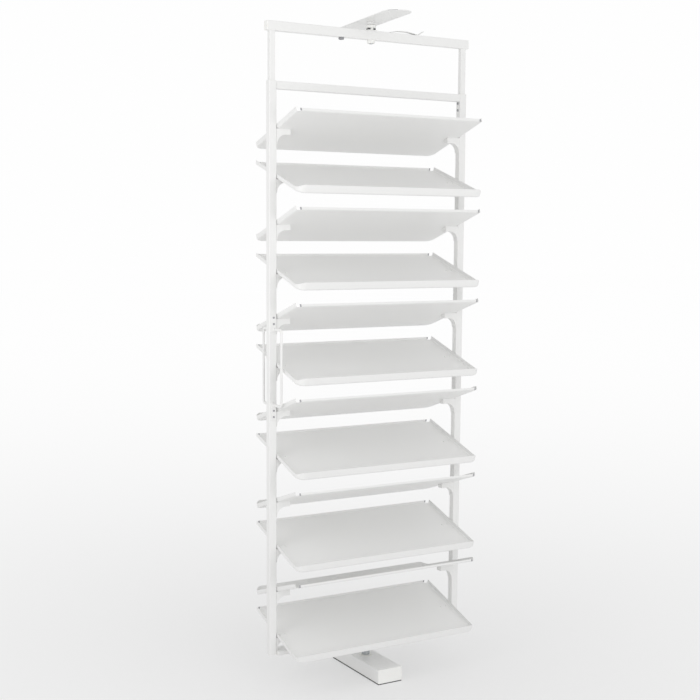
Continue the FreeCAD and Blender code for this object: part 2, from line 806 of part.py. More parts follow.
def make_tray_pressing():
    """Makes one tray lying flat with its low edge in front and its underside at the origin."""
    body = new_body("tray_blank")
    low = s.tray_low_reach
    high = s.tray_high_reach
    half = tray_half_width
    corner = s.tray_corner_radius
    sheet = s.tray_sheet

    def plan(inset):
        radius = corner - inset
        side = half - inset
        front = low - inset
        back = high - inset
        return [
            (-side, back), (-side, radius - front, radius, "left"), (radius - side, -front),
            (side - radius, -front, radius, "left"), (side, radius - front), (side, back),
        ]

    outer = sketch_on(body, "XY_Plane")
    outline(outer, plan(as_size(0)))
    block = pad(body, outer, s.low_wall_height)
    round_edges(body, block, s.tray_bend_radius, is_flat_at(as_size(0)))
    drop = s.low_wall_height - s.side_wall_height
    run = corner - sheet
    sweep = (run * run + drop * drop) / (drop * 2)
    above = s.low_wall_height + s.overrun
    side_view = sketch_on(body, "YZ_Plane")
    outline(side_view, [
        (sheet - low, s.low_wall_height, sweep, "left"), (corner - low, s.side_wall_height),
        (high - s.lip_relief_depth, s.side_wall_height),
        (high - s.lip_relief_depth, s.high_lip_height), (high + s.overrun, s.high_lip_height),
        (high + s.overrun, above), (sheet - low, above),
    ])
    pocket(body, side_view, (half + s.overrun) * 2, both=True)
    relief = sketch_on(body, "XY_Plane")
    relief_start = half - s.tray_bend_radius - s.lip_relief_width
    for side in (-1, 1):
        rectangle(relief, relief_start * side, high - s.lip_relief_depth,
                  (half + s.overrun) * side, high + s.overrun)
    pocket(body, relief, above, reverse=True)
    holes = sketch_on(body, "XY_Plane")
    for x in tray_screw_places():
        circle(holes, x, 0, s.small_shank_radius + s.hole_clearance)
    pocket(body, holes, sheet + s.overrun, reverse=True)

    hollow = new_body("tray_hollow")
    inner = sketch_on(hollow, "XY_Plane", sheet)
    outline(inner, plan(sheet))
    dish = pad(hollow, inner, s.low_wall_height)
    round_edges(hollow, dish, s.tray_bend_radius - sheet, is_flat_at(sheet))
    pressing = doc.addObject("Part::Cut", "tray_pressing")
    pressing.Base = body
    pressing.Tool = hollow
    return pressing


def make_trays():
    front_low = make_tray_pressing()
    rear_low = mirrored(front_low, "tray_pressing_image", ALONG)
    for index in range(TRAY_COUNT):
        pressing = rear_low if index % 2 == 0 else front_low
        label = f"tray_{index + 1}"
        node(group([pressing], label + "_group", z=tray_height(index), axis=ACROSS,
                   angle=tray_angle(index)), label)


def make_bracket():
    """Makes the left bracket of a tray with its low edge in front, open on top under the tray."""
    body = new_body("bracket_left")
    wall = s.bracket_wall
    radius = s.bracket_arc_radius
    rise = s.bracket_rise
    nose = s.bracket_nose
    end = s.bracket_length - post_face
    bottom = -nose - radius - s.bracket_tail
    outer = sketch_on(body, "XZ_Plane")
    outline(outer, [
        (-post_face, rise), (-post_face, bottom), (wall - post_face, bottom),
        (wall - post_face, -nose - radius, radius, "right"), (wall + radius - post_face, -nose),
        (end, -nose), (end, rise),
    ])
    pad(body, outer, s.post_depth, both=True)
    meeting = (wall * (radius * 2 + wall)).root() - nose - radius
    inner = sketch_on(body, "XZ_Plane")
    outline(inner, [
        (wall - post_face, rise + s.overrun), (wall - post_face, meeting, radius + wall, "right"),
        (wall + radius - post_face, wall - nose), (end - wall, wall - nose),
        (end - wall, rise + s.overrun),
    ])
    pocket(body, inner, s.post_depth - wall * 2, both=True)
    rib = sketch_on(body, "XY_Plane", rise)
    rectangle(rib, s.rib_start - post_face, (wall - s.post_depth) / 2,
              end - wall, (s.post_depth - wall) / 2)
    pad(body, rib, rise + s.rib_depth, reverse=True)
    top = sketch_on(body, "XY_Plane", 0, s.tray_tilt)
    rectangle(top, -post_face - s.overrun, -s.post_depth, end + s.overrun, s.post_depth)
    pocket(body, top, rise + s.post_depth, reverse=True)
    pilot = sketch_on(body, "XY_Plane", 0, s.tray_tilt)
    for x in tray_screw_places()[:2]:
        circle(pilot, x, 0, s.small_shank_radius + s.hole_clearance)
    pocket(body, pilot, s.tray_screw_bite + s.overrun)
    leg = sketch_on(body, "YZ_Plane", wall - post_face)
    for place_down in (0, 1):
        height = -s.bracket_screw_drop - s.bracket_screw_spacing * place_down
        circle(leg, 0, height, s.small_shank_radius + s.hole_clearance)
    pocket(body, leg, wall + s.overrun)
    return body


def make_brackets():
    left = make_bracket()
    front_low = group([left, mirrored(left, "bracket_right", ACROSS)], "brackets_front_low")
    rear_low = mirrored(front_low, "brackets_rear_low", ALONG)
    for index in range(TRAY_COUNT):
        both = rear_low if index % 2 == 0 else front_low
        label = f"tray_{index + 1}_brackets"
        node(group([both], label + "_group", z=tray_height(index)), label)


def make_tray_and_bracket_screws():
    tray_master = screw("tray_screw", s.small_head_radius, s.small_head_height,
                        s.small_shank_radius, s.tray_screw_bite + s.tray_sheet)
    tray_set = group([
        group([tray_master], "tray_screw_at", x=x, z=s.tray_sheet) for x in tray_screw_places()
    ], "tray_screw_set")
    bracket_master = screw("bracket_screw", s.small_head_radius, s.small_head_height,
                           s.small_shank_radius, s.bracket_wall + s.post_wall)
    bracket_set = group([
        group([bracket_master], "bracket_screw_at", x=(post_face - s.bracket_wall) * side,
              z=-s.bracket_screw_drop - s.bracket_screw_spacing * down, axis=ALONG,
              angle=-90 * side)
        for side in (-1, 1) for down in (0, 1)
    ], "bracket_screw_set")
    tray_sets = []
    bracket_sets = []
    for index in range(TRAY_COUNT):
        height = tray_height(index)
        tray_sets.append(group([tray_set], "tray_screws_at", z=height, axis=ACROSS,
                               angle=tray_angle(index)))
        bracket_sets.append(group([bracket_set], "bracket_screws_at", z=height))
    node(group(tray_sets, "tray_screws_group"), "tray_screws")
    node(group(bracket_sets, "bracket_screws_group"), "bracket_screws")


def make_upper_tube(label, side):
    body = new_body(label + "_body")
    bottom = post_top - s.upper_tube_insert_length
    section = hollow_sketch(body, "XY_Plane", bottom, upper_tube_width, upper_tube_depth,
                            s.upper_tube_wall, post_centre * side)
    pad(body, section, top_bar_bottom - bottom)
    hole = sketch_on(body, "YZ_Plane", upper_tube_face * side)
    height = top_bar_bottom - s.connector_screw_drop
    circle(hole, 0, height, s.small_shank_radius + s.hole_clearance)
    pocket(body, hole, s.upper_tube_wall + s.overrun, reverse=side > 0)
    node(body, label)


def make_top_bar():
    body = new_body("top_bar_body")
    half = s.frame_width / 2 + s.top_bar_overhang_length - s.end_cap_thickness
    middle = top_bar_bottom + s.top_bar_height / 2
    section = hollow_sketch(body, "YZ_Plane", 0, s.top_bar_depth, s.top_bar_height, s.bar_wall,
                            0, middle)
    pad(body, section, half * 2, both=True)
    bores = sketch_on(body, "XY_Plane", top_bar_top)
    circle(bores, 0, 0, s.bush_spigot_radius + s.hole_clearance)
    pocket(body, bores, s.top_bar_height + s.overrun)
    slot = sketch_on(body, "XY_Plane", top_bar_top)
    half_slot = spring_width / 2 + s.slide_clearance
    rectangle(slot, s.spring_slot_start, -half_slot, s.spring_slot_end, half_slot)
    pocket(body, slot, s.bar_wall + s.overrun)
    rivet = sketch_on(body, "XY_Plane", top_bar_top)
    circle(rivet, s.spring_fold_distance, 0, s.small_shank_radius + s.hole_clearance)
    pocket(body, rivet, s.bar_wall + s.overrun)
    node(body, "top_bar")

    gap = s.slide_clearance * 2
    inner = (s.top_bar_depth - s.bar_wall * 2 - gap, s.top_bar_height - s.bar_wall * 2 - gap)
    cap = end_cap("top_bar_end_cap_body", "YZ_Plane", half, (s.top_bar_depth, s.top_bar_height),
                  inner, (0, middle), s.end_cap_thickness, s.end_cap_plug_depth, outwards=True)
    pair(cap, "top_bar_end_caps", ACROSS)


def make_connectors():
    """Makes the plugs that fasten the top bar on the upper tubes, and their dark screws."""
    body = new_body("connector_body")
    gap = s.slide_clearance * 2
    width = upper_tube_width - s.upper_tube_wall * 2 - gap
    depth = upper_tube_depth - s.upper_tube_wall * 2 - gap
    flat = sketch_on(body, "XY_Plane", top_bar_bottom)
    centred(flat, width, depth, -post_centre)
    pad(body, flat, s.connector_depth, reverse=True)
    hole = sketch_on(body, "YZ_Plane", -post_centre)
    height = top_bar_bottom - s.connector_screw_drop
    circle(hole, 0, height, s.small_shank_radius + s.hole_clearance)
    pocket(body, hole, upper_tube_width / 2, reverse=True)
    pair(body, "top_bar_connectors", ACROSS)
    master = screw("connector_screw", s.small_head_radius, s.small_head_height,
                   s.small_shank_radius, upper_tube_width / 2 - s.hole_clearance)
    screws = [
        group([master], "connector_screw_at", x=upper_tube_face * side, z=height, axis=ALONG,
              angle=-90 * side)
        for side in (-1, 1)
    ]
    node(group(screws, "top_bar_screws_group"), "top_bar_screws")


def make_pivot_bushes():
    bore = s.pin_radius + s.running_fit
    screw_y = s.top_bar_depth / 2 - s.bush_screw_edge_distance
    screw_reach = s.bush_neck_radius + s.bush_screw_gap + s.small_head_radius
    screw_x = (screw_reach * screw_reach - screw_y * screw_y).root()
    half_flange = screw_x + s.small_head_radius + s.bush_flange_rim_width
    upper = new_body("pivot_collar_body")
    flange = sketch_on(upper, "XY_Plane", top_bar_top)
    centred(flange, half_flange * 2, s.top_bar_depth)
    pad(upper, flange, s.bush_flange_height)
    neck = sketch_on(upper, "XY_Plane", collar_neck_top)
    circle(neck, 0, 0, s.bush_neck_radius)
    pad(upper, neck, s.bush_neck_height + s.bush_flange_height / 2, reverse=True)
    head = sketch_on(upper, "XY_Plane", collar_neck_top)
    circle(head, 0, 0, s.bush_head_radius)
    pad(upper, head, s.bush_head_height)
    spigot = sketch_on(upper, "XY_Plane", top_bar_top)
    circle(spigot, 0, 0, s.bush_spigot_radius)
    pad(upper, spigot, s.bar_wall, reverse=True)
    through = sketch_on(upper, "XY_Plane", collar_top)
    circle(through, 0, 0, bore)
    pocket(upper, through, s.bush_head_height + s.bush_neck_height + s.bush_flange_height
           + s.bar_wall + s.overrun)
    node(upper, "pivot_collar")

    lower = new_body("pivot_nub_body")
    bottom = top_bar_bottom - s.nub_height
    top = top_bar_bottom + s.bar_wall
    revolve(lower, [
        (bore, bottom), (s.nub_radius, bottom), (s.nub_radius, top_bar_bottom),
        (s.bush_spigot_radius, top_bar_bottom), (s.bush_spigot_radius, top), (bore, top),
    ])
    node(lower, "pivot_nub")

    master = screw("collar_screw", s.small_head_radius, s.bush_screw_head_height,
                   s.small_shank_radius, s.hole_clearance)
    screws = [
        group([master], "collar_screw_at", x=screw_x * side, y=screw_y * end,
              z=top_bar_top + s.bush_flange_height + s.hole_clearance)
        for side in (-1, 1) for end in (-1, 1)
    ]
    node(group(screws, "pivot_collar_screws_group"), "pivot_collar_screws")


def make_pivot_pin():
    """Makes the pin with two collars, which hold the forked end of the leaf spring."""
    body = new_body("pivot_pin_body")
    top = s.plate_bottom_height + s.plate_thickness - s.pin_top_gap
    bottom = top_bar_bottom - s.pin_end_length
    low_collar_top = fork_height - s.pin_collar_gap
    high_collar_bottom = fork_height + s.spring_thickness + s.pin_collar_gap
    radius = s.pin_radius
    collar = radius + s.pin_collar_rim_width
    revolve(body, [
        (0, bottom), (radius, bottom),
        (radius, low_collar_top - s.pin_collar_height), (collar, low_collar_top - s.pin_collar_height),
        (collar, low_collar_top), (radius, low_collar_top), (radius, high_collar_bottom),
        (collar, high_collar_bottom), (collar, high_collar_bottom + s.pin_collar_height),
        (radius, high_collar_bottom + s.pin_collar_height), (radius, top), (0, top),
    ])
    node(body, "pivot_pin")


def make_pivot_spring():
    body = new_body("pivot_spring_body")
    lift = s.spring_thickness
    hump_height = top_bar_top + s.spring_hump_height
    fold_height = top_bar_top + s.spring_fold_gap
    fold_start = s.spring_fold_distance - s.spring_fold_half_width
    fold_end = s.spring_fold_distance + s.spring_fold_half_width
    under = [
        (-s.spring_fork_reach, fork_height), (s.spring_fork_end, fork_height),
        (s.spring_hump_start, hump_height),
        (s.spring_hump_start + s.spring_hump_length, hump_height),
        (fold_start, fold_height), (fold_end, fold_height),
        (fold_end + s.spring_tab_length, top_bar_top + s.spring_tab_height),
    ]
    over = [(x, height + lift) for x, height in reversed(under)]
    profile = sketch_on(body, "XZ_Plane")
    outline(profile, under + over)
    pad(body, profile, spring_width, both=True)
    fork = sketch_on(body, "XY_Plane", fork_height + lift)
    gap = s.pin_radius + s.slide_clearance
    outline(fork, [
        (-s.spring_fork_reach - s.overrun, -gap), (0, -gap, gap, "left"), (gap, 0, gap, "left"),
        (0, gap),
        (-s.spring_fork_reach - s.overrun, gap),
    ])
    pocket(body, fork, lift + s.overrun)
    hole = sketch_on(body, "XY_Plane", fold_height + lift)
    circle(hole, s.spring_fold_distance, 0, s.small_shank_radius + s.slide_clearance)
    pocket(body, hole, lift + s.overrun)
    node(body, "pivot_spring")

    rivet = screw("spring_rivet_body", s.rivet_head_radius, s.small_head_height,
                  s.small_shank_radius, s.spring_fold_gap * 2 + lift + s.bar_wall)
    place(rivet, x=s.spring_fold_distance, z=fold_height + lift + s.spring_fold_gap)
    node(rivet, "spring_rivet")


def make_ceiling_plate():
    body = new_body("ceiling_plate_body")
    flat = sketch_on(body, "XY_Plane")
    half = s.plate_width / 2
    straight = s.plate_half_length - half
    outline(flat, [
        (half, -straight), (half, straight, half, "left"),
        (0, s.plate_half_length, half, "left"), (-half, straight),
        (-half, -straight, half, "left"), (0, -s.plate_half_length, half, "left"),
    ])
    circle(flat, 0, 0, s.pin_radius + s.slide_clearance)
    circle(flat, -s.plate_hole_across, -s.plate_hole_along, s.plate_hole_radius)
    circle(flat, s.plate_hole_across, s.plate_hole_along, s.plate_hole_radius)
    pad(body, flat, s.plate_thickness)
    place(body, z=s.plate_bottom_height, angle=-s.plate_turn)
    node(body, "ceiling_plate")

    socket = new_body("pivot_socket_body")
    bore = s.pin_radius + s.running_fit
    revolve(socket, [
        (bore, socket_bottom), (s.socket_radius, socket_bottom),
        (s.socket_radius, s.plate_bottom_height),
        (bore, s.plate_bottom_height),
    ])
    node(socket, "pivot_socket")


make_floor_plate()
make_base_bar()
make_base_end_caps()
make_bearing()
make_spindle()
make_crossbar("bottom_crossbar", s.post_foot_height, s.bottom_bar_height, s.bottom_bar_depth)
make_crossbar("middle_crossbar", post_top - s.middle_bar_height, s.middle_bar_height,
              s.middle_bar_depth)
make_post("left_lower_post", -1)
make_post("right_lower_post", 1)
make_foot_plugs()
make_sleeves()
make_height_set_screws()
make_handles()
make_trays()
make_brackets()
make_tray_and_bracket_screws()
make_upper_tube("left_upper_tube", -1)
make_upper_tube("right_upper_tube", 1)
make_top_bar()
make_connectors()
make_pivot_bushes()
make_pivot_pin()
make_pivot_spring()
make_ceiling_plate()
doc.recompute()

failed = [
    f"{thing.Label} ({thing.Name}): {thing.State}" for thing in doc.Objects
    if "Invalid" in thing.State or "Error" in thing.State
]
broken = [thing.Label for thing in NODES if thing.Shape.isNull() or not thing.Shape.isValid()]
if failed or broken:
    raise RuntimeError(f"Objects that failed: {failed}. Shapes that are not valid: {broken}")

os.makedirs("parts", exist_ok=True)
for thing in NODES:
    thing.Shape.exportStep(os.path.join("parts", thing.Label + ".step"))
    print(thing.Label, len(thing.Shape.Solids), round(thing.Shape.Volume / 1000, 2))
print("nodes", len(NODES))
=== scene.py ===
import json
import math
from collections import namedtuple

import bmesh
import bpy
from bpy.props import FloatProperty, FloatVectorProperty, IntProperty, PointerProperty
from mathutils import Matrix, Vector

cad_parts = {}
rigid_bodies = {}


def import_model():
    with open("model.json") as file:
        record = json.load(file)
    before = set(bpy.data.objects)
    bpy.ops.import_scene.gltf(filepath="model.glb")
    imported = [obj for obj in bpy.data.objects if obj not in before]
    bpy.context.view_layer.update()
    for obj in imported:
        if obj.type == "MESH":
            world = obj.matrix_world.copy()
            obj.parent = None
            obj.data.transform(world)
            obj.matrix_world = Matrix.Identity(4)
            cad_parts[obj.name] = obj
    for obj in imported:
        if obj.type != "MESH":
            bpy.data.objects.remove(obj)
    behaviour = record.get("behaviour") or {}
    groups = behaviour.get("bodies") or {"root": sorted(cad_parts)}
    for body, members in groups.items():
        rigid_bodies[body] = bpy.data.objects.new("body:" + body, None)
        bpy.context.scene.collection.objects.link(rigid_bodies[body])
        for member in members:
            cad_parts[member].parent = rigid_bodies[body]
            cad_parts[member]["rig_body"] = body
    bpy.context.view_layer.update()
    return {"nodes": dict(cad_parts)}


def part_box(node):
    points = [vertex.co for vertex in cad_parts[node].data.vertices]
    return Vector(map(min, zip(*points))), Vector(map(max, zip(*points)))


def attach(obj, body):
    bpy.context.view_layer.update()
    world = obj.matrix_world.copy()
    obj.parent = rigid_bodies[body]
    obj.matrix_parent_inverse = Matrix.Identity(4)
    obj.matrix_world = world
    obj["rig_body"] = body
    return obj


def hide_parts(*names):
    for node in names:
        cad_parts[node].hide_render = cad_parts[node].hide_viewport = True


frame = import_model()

bl_info = {
    "name": "Rotating shoe rack",
    "version": (1, 0, 0),
    "blender": (4, 5, 0),
    "location": "3D View > Sidebar > Shoe rack",
    "description": "Finishes the parts of a floor-to-ceiling rotating shoe rack and sets its stage",
    "category": "Object",
}

# The rack turns about Z, its front looks along minus Y, and all places are in metres.
TRAYS = range(1, 13)
FINISHES = {}

# Axes, and the distances in millimetres and angles in degrees that tell corners, bends and
# edges apart
X, Y, Z = range(3)
MERGE_DISTANCE = 0.002
SAME_PLACE = 0.02
FLAT_ANGLE = 0.5
SHARP_ANGLE = 50
SMOOTH_ANGLE = 40
STRIP_LINE_LENGTH = 14

# Steps in the rounding of a tube's corners, a cap's rim and a screw's head
CORNER_STEPS = 4
RIM_STEPS = 3

# Screws in millimetres, with the number of sides of the round head
ScrewShape = namedtuple("ScrewShape", "head_height shank_radius sides")
SMALL_SCREW = ScrewShape(head_height=1.4, shank_radius=1.5, sides=12)
SET_SCREW = ScrewShape(head_height=3, shank_radius=3, sides=24)
HANDLE_SCREW = ScrewShape(head_height=2.4, shank_radius=2, sides=24)
COLLAR_SCREW = ScrewShape(head_height=4.5, shank_radius=1.5, sides=24)

# Shares of a screw's head: its socket's width and depth, and the most that its rim is rounded
SOCKET_WIDTH_SHARE = 0.52
SOCKET_DEPTH_SHARE = 0.6
RIM_RADIUS_SHARE = 0.22
RIM_HEIGHT_SHARE = 0.45

# Bends of the leaf strip, in millimetres: between which places along X they lie, how far their
# rounding starts from them, and its steps
StripBend = namedtuple("StripBend", "start end rounding steps")
STRIP_BENDS = (
    StripBend(start=80, end=140, rounding=12, steps=5),
    StripBend(start=20, end=30, rounding=6, steps=4),
    StripBend(start=155, end=175, rounding=1.6, steps=3),
)

# Soft lamps: their place, the point that they shine at and their size in metres, and their
# power in watts. Strengths of the room and the floor are shares of full white. The floor is no
# lamp, but it glows with a painted light that also lights the rack from below. Over a distance
# in metres, this glow takes over from the lit grey of the floor.
SoftLamp = namedtuple("SoftLamp", "name place aim size power")
LAMPS = (
    SoftLamp(name="key", place=(-0.3, -3.8, 1.8), aim=(0, 0, 1.1), size=(2.6, 2.6), power=28),
    SoftLamp(name="left_strip", place=(-1.35, -0.4, 1.4), aim=(0, 0, 1.3), size=(0.5, 1.6),
             power=3),
)
ROOM_LIGHT = 0.74
ROOM_WHITE = 0.992
FLOOR_LIGHT = 0.88
FLOOR_WHITE = 0.99
FLOOR_FADE_DISTANCE = 2.34
FLOOR_UNGLOWING_SHARE = 0.67

# The camera stands left of the rack's middle, at chest height, and looks a little down
CAMERA_PLACE = (-2.0003, -3.3143, 1.3992)
CAMERA_YAW = math.radians(30.23)
CAMERA_PITCH = math.radians(-6.91)
CAMERA_ROLL = math.radians(0.40)
CAMERA_SHIFT = (0.0015, 0.0457)
CAMERA_REACH = 200


# Small tools for numbers and colours

def mm(length):
    return length / 1000


def per_mm(size):
    """Gives the scale of a pattern whose marks are this many millimetres across."""
    return 1000 / size


def linear(code):
    """Turns an sRGB hex colour to the linear values of a shader."""
    parts = [int(code[i:i + 2], 16) / 255 for i in (1, 3, 5)]
    return tuple(p / 12.92 if p <= 0.04045 else ((p + 0.055) / 1.055) ** 2.4 for p in parts)


def opaque(code):
    return (*linear(code), 1.0)


def middle(node):
    low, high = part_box(node)
    return (low + high) / 2


def tray_face(place):
    """Gives the way that the tray nearest a place faces: up and to the front or the back."""
    number = min(TRAYS, key=lambda index: abs(middle(f"tray_{index}").z - place.z))
    backwards = 1 if number % 2 else -1
    tilt = sizes().tray_tilt
    return Vector((0, backwards * math.sin(tilt), math.cos(tilt)))


def inwards(place):
    """Gives the level way from a post towards the middle of the rack."""
    return Vector((-math.copysign(1, place.x), 0, 0))


def to_front_or_back(place):
    """Gives the level way out of the front or the back, whichever a place is nearer."""
    return Vector((0, math.copysign(1, place.y), 0))


def upwards(place):
    return Vector((0, 0, 1))


# Sizes and colours that a user may change

class RackSizes(bpy.types.PropertyGroup):
    edge_bevel: FloatProperty(
        name="Edge bevel", description="Rounding of cut sheet edges under the coat",
        default=mm(0.4), min=0, max=mm(1), subtype="DISTANCE", unit="LENGTH")
    bevel_segments: IntProperty(
        name="Bevel segments", description="Steps in each rounded edge", default=2, min=1, max=4)
    cap_bevel: FloatProperty(
        name="Cap bevel", description="Rounding of the moulded end caps",
        default=mm(0.9), min=0, max=mm(2), subtype="DISTANCE", unit="LENGTH")
    turned_bevel: FloatProperty(
        name="Pivot bevel", description="Rounding of the collar, the nub and the socket",
        default=mm(0.8), min=0, max=mm(1.5), subtype="DISTANCE", unit="LENGTH")
    tube_corner: FloatProperty(
        name="Tube corner", description="Outer radius of the corners of the frame's tubes",
        default=mm(1.8), min=0, max=mm(3), subtype="DISTANCE", unit="LENGTH")
    base_corner: FloatProperty(
        name="Base corner", description="Outer radius of the corners of the base bar",
        default=mm(2.5), min=0, max=mm(4), subtype="DISTANCE", unit="LENGTH")
    tray_tilt: FloatProperty(
        name="Tray tilt", description="Slope of the trays, which face front and back by turns",
        default=math.radians(18.35), subtype="ANGLE", unit="ROTATION")
    lens: FloatProperty(
        name="Lens", description="Focal length of the camera in millimetres",
        default=63.943, min=1, unit="CAMERA")
    floor_radius: FloatProperty(
        name="Floor radius", description="Reach of the pale floor round the rack",
        default=40, subtype="DISTANCE", unit="LENGTH")


class RackColours(bpy.types.PropertyGroup):
    coat: FloatVectorProperty(
        name="Powder coat", description="White of the steel parts", subtype="COLOR", size=3,
        default=linear("#F1F1F0"), min=0, max=1)
    coat_shade: FloatVectorProperty(
        name="Powder coat, thin", description="White of the steel parts where the coat is thin",
        subtype="COLOR", size=3, default=linear("#F0F0EF"), min=0, max=1)
    plastic: FloatVectorProperty(
        name="Moulded plastic", description="White of the caps, plugs and sleeves",
        subtype="COLOR", size=3, default=linear("#F7F7F5"), min=0, max=1)
    screw: FloatVectorProperty(
        name="Dark screws", description="Black oxide of the collar's screws", subtype="COLOR",
        size=3, default=linear("#444448"), min=0, max=1)
    # on the trays' clips this grey is painted shade for the dark open ends of the lips
    grey: FloatVectorProperty(
        name="Grey screws and clips", subtype="COLOR", size=3,
        description="Zinc flake coat of the posts' and handles' screws and of the trays' clips",
        default=linear("#B8B8BB"), min=0, max=1)
    floor: FloatVectorProperty(
        name="Floor", description="Pale floor near the rack", subtype="COLOR", size=3,
        default=linear("#E6E6E6"), min=0, max=1)


def sizes():
    return bpy.context.scene.rack_sizes


def colours():
    return bpy.context.scene.rack_colours


def colour_of(name):
    return (*getattr(colours(), name), 1.0)


# Materials

# Marks on a surface, in millimetres: soft random blotches, or the bands or rings that a tool
# leaves, and how deep and how strongly such marks are raised
Blotches = namedtuple("Blotches", "size detail", defaults=(2,))
ToolMarks = namedtuple("ToolMarks", "kind spacing distortion")
Relief = namedtuple("Relief", "marks depth strength")


def add(tree, kind, values=None, links=None, **settings):
    """Adds one node with its settings, socket values and incoming links."""
    node = tree.nodes.new("ShaderNode" + kind)
    for name, value in settings.items():
        setattr(node, name, value)
    for name, value in (values or {}).items():
        node.inputs[name].default_value = value
    for name, output in (links or {}).items():
        tree.links.new(output, node.inputs[name])
    return node


def empty_tree(owner):
    """Gives the node tree of a material or a world with nothing in it."""
    owner.use_nodes = True
    owner.node_tree.nodes.clear()
    return owner.node_tree


def draw_marks(tree, place, marks):
    """Draws blotches or tool marks on a surface and gives how strong they are at each point."""
    if isinstance(marks, Blotches):
        node = add(tree, "TexNoise", {"Scale": per_mm(marks.size), "Detail": marks.detail},
                   {"Vector": place})
    else:
        # at a scale of 1, the node draws 20 radians of its wave in each metre
        scale = per_mm(marks.spacing) * math.tau / 20
        node = add(tree, "TexWave", {"Scale": scale, "Distortion": marks.distortion},
                   {"Vector": place}, wave_type=marks.kind, rings_direction="Z",
                   bands_direction="Z")
    return node.outputs["Fac"]


def make_finish(name, colour, sockets, roughness, sheen, relief, second_colour=None, clouds=None):
    """Makes a finish from its colours, the two values its roughness wanders between and its relief.

    The second colour lies in clouds on the first. Clouds, sheen and each step of the relief are
    marks on the surface, and each step of the relief lies on the one before it. The sockets' own
    colour and roughness show in views that can't draw the marks.
    """
    material = bpy.data.materials.new(name)
    tree = empty_tree(material)
    place = add(tree, "TexCoord").outputs["Object"]
    links = {}
    if clouds:
        # sockets 6 and 7 and output 2 are the node's colours
        mix = add(tree, "Mix", {6: colour, 7: second_colour},
                  {0: draw_marks(tree, place, clouds)}, data_type="RGBA")
        links["Base Color"] = mix.outputs[2]
    # nearly all of a blotch pattern lies between 0.3 and 0.7
    ranged = add(tree, "MapRange", {"From Min": 0.3, "From Max": 0.7, "To Min": roughness[0],
                                    "To Max": roughness[1]},
                 {"Value": draw_marks(tree, place, sheen)})
    links["Roughness"] = ranged.outputs["Result"]
    for step in relief:
        below = {"Normal": links["Normal"]} if "Normal" in links else {}
        raised = add(tree, "Bump", {"Strength": step.strength, "Distance": mm(step.depth)},
                     {"Height": draw_marks(tree, place, step.marks), **below})
        links["Normal"] = raised.outputs["Normal"]
    shader = add(tree, "BsdfPrincipled", {"Base Color": colour, **sockets}, links)
    add(tree, "OutputMaterial", links={"Surface": shader.outputs["BSDF"]})
    FINISHES[name] = material


def make_powder_coat():
    """White polyester powder coat, sprayed on steel and baked: an even satin with orange peel.

    The coat is a little thinner in clouds about two hands wide. The real orange peel is 1 to 3 mm,
    drawn at 5 mm because finer waves don't show, and the grit of the powder lies on it.
    """
    peel = Relief(Blotches(size=5, detail=1), depth=0.006, strength=0.2)
    grit = Relief(Blotches(size=0.8), depth=0.004, strength=0.15)
    make_finish(
        "white_powder_coat", colour_of("coat"), {"Roughness": 0.28, "IOR": 1.5},
        second_colour=colour_of("coat_shade"), clouds=Blotches(size=220, detail=1),
        roughness=(0.29, 0.31), sheen=Blotches(size=90, detail=1), relief=[peel, grit])


def make_moulded_abs():
    """White ABS, injection moulded in a spark-eroded tool: fine grain and a duller sheen."""
    depths = (mm(1.2), mm(1.1), mm(1.0))
    grain = Relief(Blotches(size=0.7, detail=3), depth=0.02, strength=0.5)
    make_finish(
        "white_moulded_abs", colour_of("plastic"),
        {"Roughness": 0.48, "IOR": 1.53, "Subsurface Weight": 0.05, "Subsurface Radius": depths},
        second_colour=opaque("#F2F2EF"), clouds=Blotches(size=60),
        roughness=(0.42, 0.54), sheen=Blotches(size=12), relief=[grain])


def make_turned_acetal():
    """White acetal, turned on a lathe: smooth and waxy with faint turning rings.

    The rings are under 1 mm apart, drawn at 5 mm because finer ones don't show.
    """
    depths = (mm(1.5), mm(1.4), mm(1.2))
    rings = Relief(ToolMarks("RINGS", spacing=5, distortion=0.3), depth=0.01, strength=0.4)
    make_finish(
        "turned_acetal", opaque("#EFEFEA"),
        {"Roughness": 0.33, "IOR": 1.48, "Subsurface Weight": 0.08, "Subsurface Radius": depths},
        roughness=(0.28, 0.4), sheen=Blotches(size=9), relief=[rings])


def make_bearing_steel():
    """Hardened bearing steel, ground and polished: bright, with fine grinding lines.

    The lines are much finer than 1 mm, drawn at 3 mm because finer ones don't show.
    """
    lines = Relief(ToolMarks("RINGS", spacing=3.14, distortion=0.5), depth=0.004, strength=0.4)
    make_finish(
        "ground_bearing_steel", opaque("#C2C5C9"), {"Metallic": 1.0, "Roughness": 0.18},
        second_colour=opaque("#A9ACB0"), clouds=Blotches(size=6),
        roughness=(0.12, 0.26), sheen=Blotches(size=3), relief=[lines])


def make_zinc_plate():
    """Turned mild steel with bright zinc plating: bluish, faintly clouded, softly reflecting.

    The lathe's feed marks are under 1 mm apart, drawn at 4 mm because finer ones don't show.
    """
    marks = Relief(ToolMarks("BANDS", spacing=3.77, distortion=0.4), depth=0.01, strength=0.4)
    make_finish(
        "zinc_plated_steel", opaque("#CDD0D2"), {"Metallic": 1.0, "Roughness": 0.32},
        second_colour=opaque("#AEB2B6"), clouds=Blotches(size=14, detail=3),
        roughness=(0.25, 0.42), sheen=Blotches(size=5), relief=[marks])


def make_pressed_brass():
    """Brass strip, pressed to a ball cage: warm and satin."""
    grain = Relief(Blotches(size=1.2), depth=0.01, strength=0.4)
    make_finish(
        "pressed_brass", opaque("#D2AC59"), {"Metallic": 1.0, "Roughness": 0.34},
        second_colour=opaque("#B58C3D"), clouds=Blotches(size=7),
        roughness=(0.28, 0.42), sheen=Blotches(size=4), relief=[grain])


